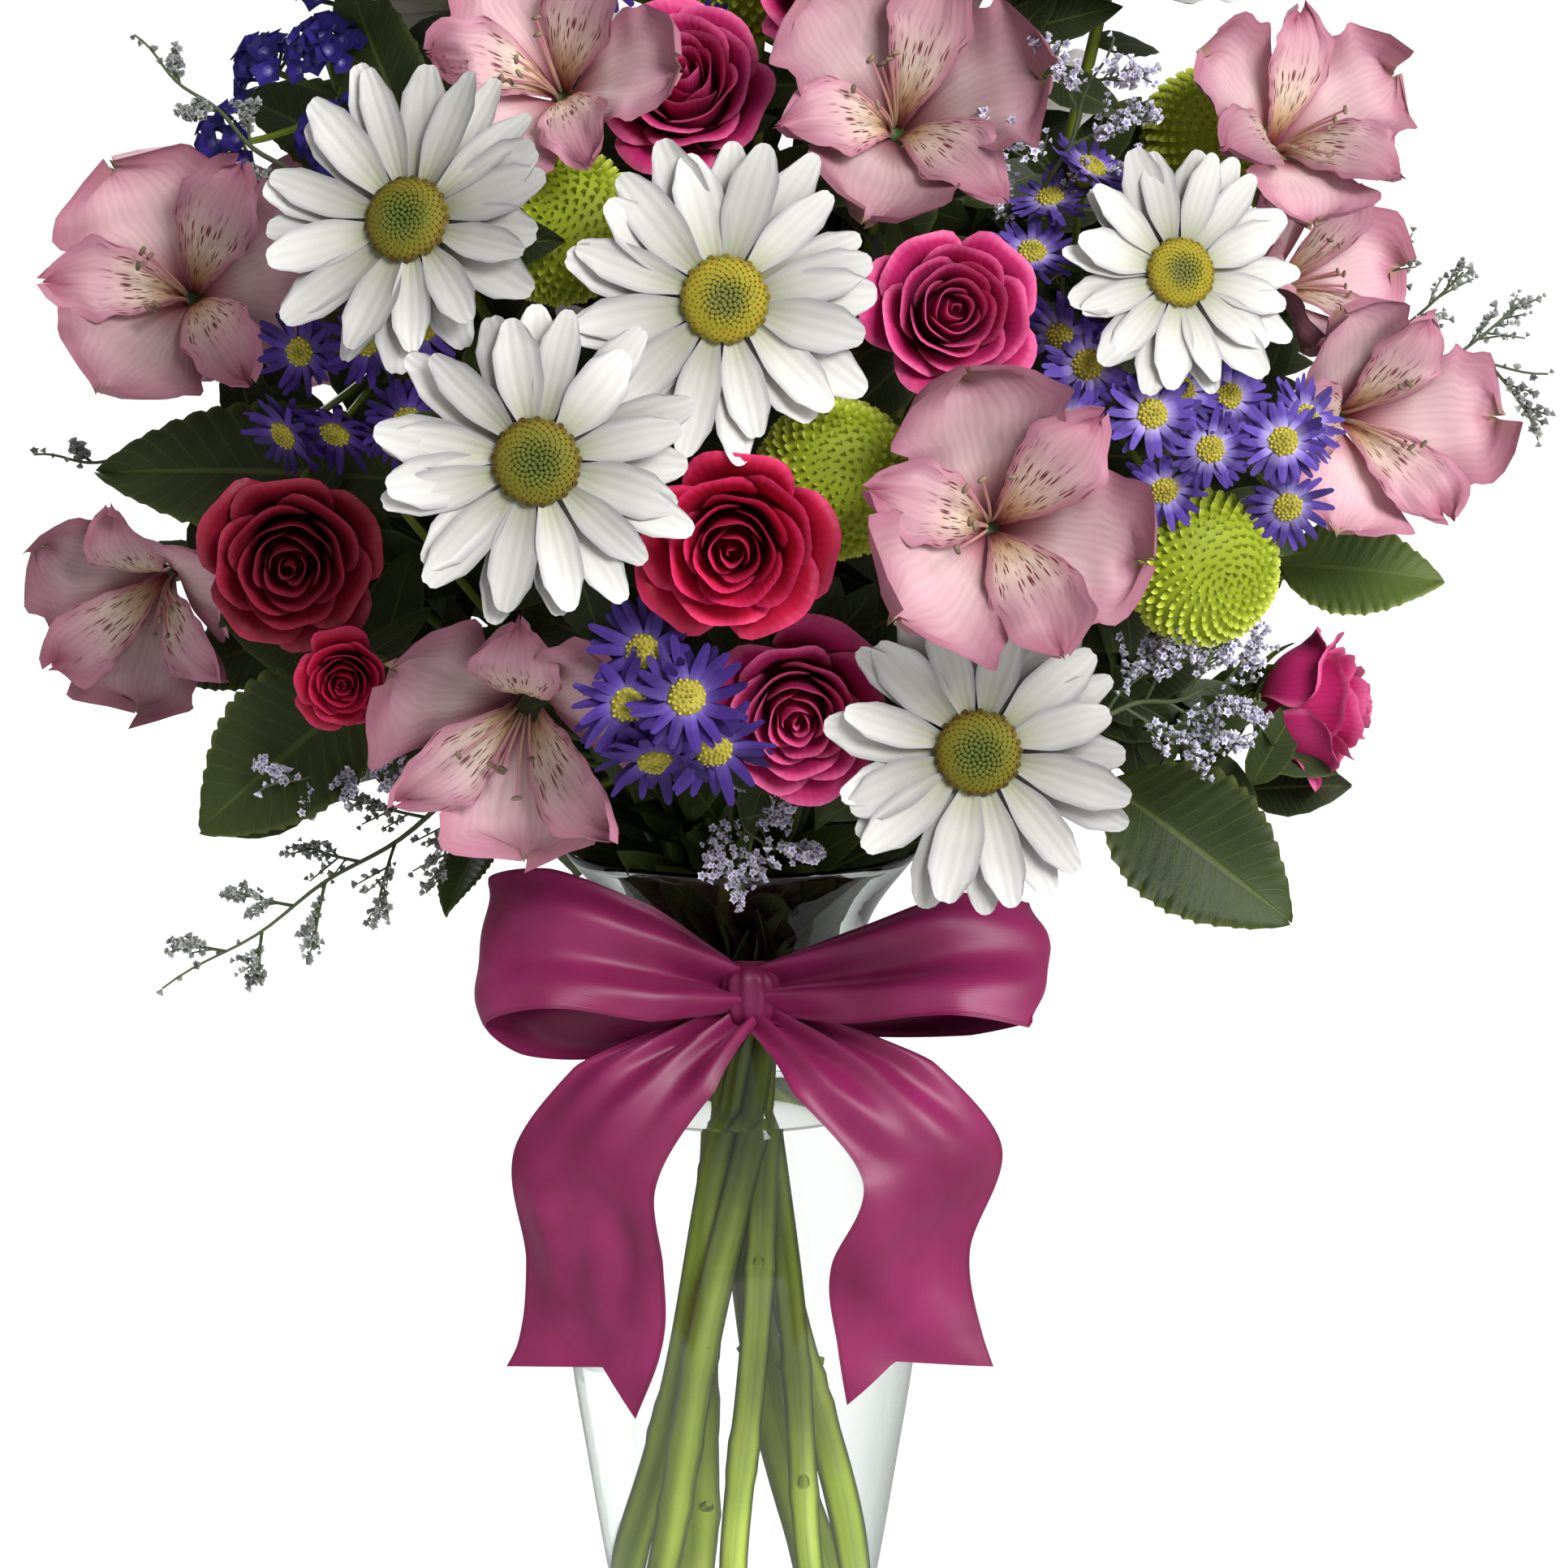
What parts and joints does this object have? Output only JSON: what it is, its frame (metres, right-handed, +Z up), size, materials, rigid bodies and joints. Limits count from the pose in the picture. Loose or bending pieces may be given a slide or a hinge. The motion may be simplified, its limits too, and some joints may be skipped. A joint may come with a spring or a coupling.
{
  "type": "mixed flower bouquet",
  "caption": "Rounded mixed bouquet of daisies, roses, alstroemeria and small filler flowers, standing in a clear footed glass vase of water with a ribbon bow at its neck.",
  "frame": {"origin": "centre of the vase's foot, on the surface it stands on", "axes": "+Z up along the vase's axis; -Y towards the front, the side with the bow's knot; +X to the right seen from the front"},
  "size_m": [0.3582, 0.232, 0.4274],
  "materials": {
    "glass": "clear, thick-walled, smooth",
    "water": null,
    "ribbon": "plum satin ribbon, fine crosswise weave",
    "stem": "fresh green stems and leaves, satin",
    "white_petal": "white petals, soft, lightly grooved",
    "daisy_eye": "olive yellow disc florets, matt",
    "rose": "magenta pink petals, velvety",
    "crimson_rose": "deep crimson petals, velvety",
    "pink_petal": "dusty pink petals with maroon flecks, soft sheen",
    "lime": "lime green florets, matt",
    "violet": "blue violet petals, soft",
    "deep_blue": "deep blue papery florets",
    "misty": "pale lilac grey florets on thin twigs, matt"
  },
  "bodies": {
    "root": {"vase": "glass", "water": "water", "ribbon_bow": "ribbon", "stems_and_leaves": "stem", "aster_far_right": "violet", "aster_left": "violet", "aster_low": "violet", "aster_right": "violet", "aster_top": "violet", "aster_upper_right": "violet", "asters_back": "violet", "button_mum_centre": "lime", "button_mum_left": "lime", "button_mum_right": "lime", "button_mum_top": "lime", "button_mum_upper_right": "lime", "buttons_back": "lime", "daisies_back": "white_petal", "daisy_centre_eye": "daisy_eye", "daisy_centre_left_eye": "daisy_eye", "daisy_centre_left_petals": "white_petal", "daisy_centre_petals": "white_petal", "daisy_low_right_eye": "daisy_eye", "daisy_low_right_petals": "white_petal", "daisy_right_eye": "daisy_eye", "daisy_right_petals": "white_petal", "daisy_top_left_eye": "daisy_eye", "daisy_top_left_petals": "white_petal", "daisy_top_right_eye": "daisy_eye", "daisy_top_right_petals": "white_petal", "daisy_upper_left_eye": "daisy_eye", "daisy_upper_left_petals": "white_petal", "lilies_back": "pink_petal", "lily_far_left": "pink_petal", "lily_far_right": "pink_petal", "lily_left": "pink_petal", "lily_low_left": "pink_petal", "lily_right": "pink_petal", "lily_side_right": "pink_petal", "lily_top": "pink_petal", "lily_top_left": "pink_petal", "lily_upper_right": "pink_petal", "misty_far_right": "misty", "misty_low": "misty", "misty_low_left": "misty", "misty_right": "misty", "misty_side_left": "misty", "misty_top_right": "misty", "misty_upper_left": "misty", "rose_bud_left": "crimson_rose", "rose_centre": "crimson_rose", "rose_far_right": "rose", "rose_left": "crimson_rose", "rose_low": "rose", "rose_right": "rose", "rose_top": "rose", "rose_top_left": "rose", "roses_back": "rose", "statice_upper_left": "deep_blue"}
  },
  "joints": []
}
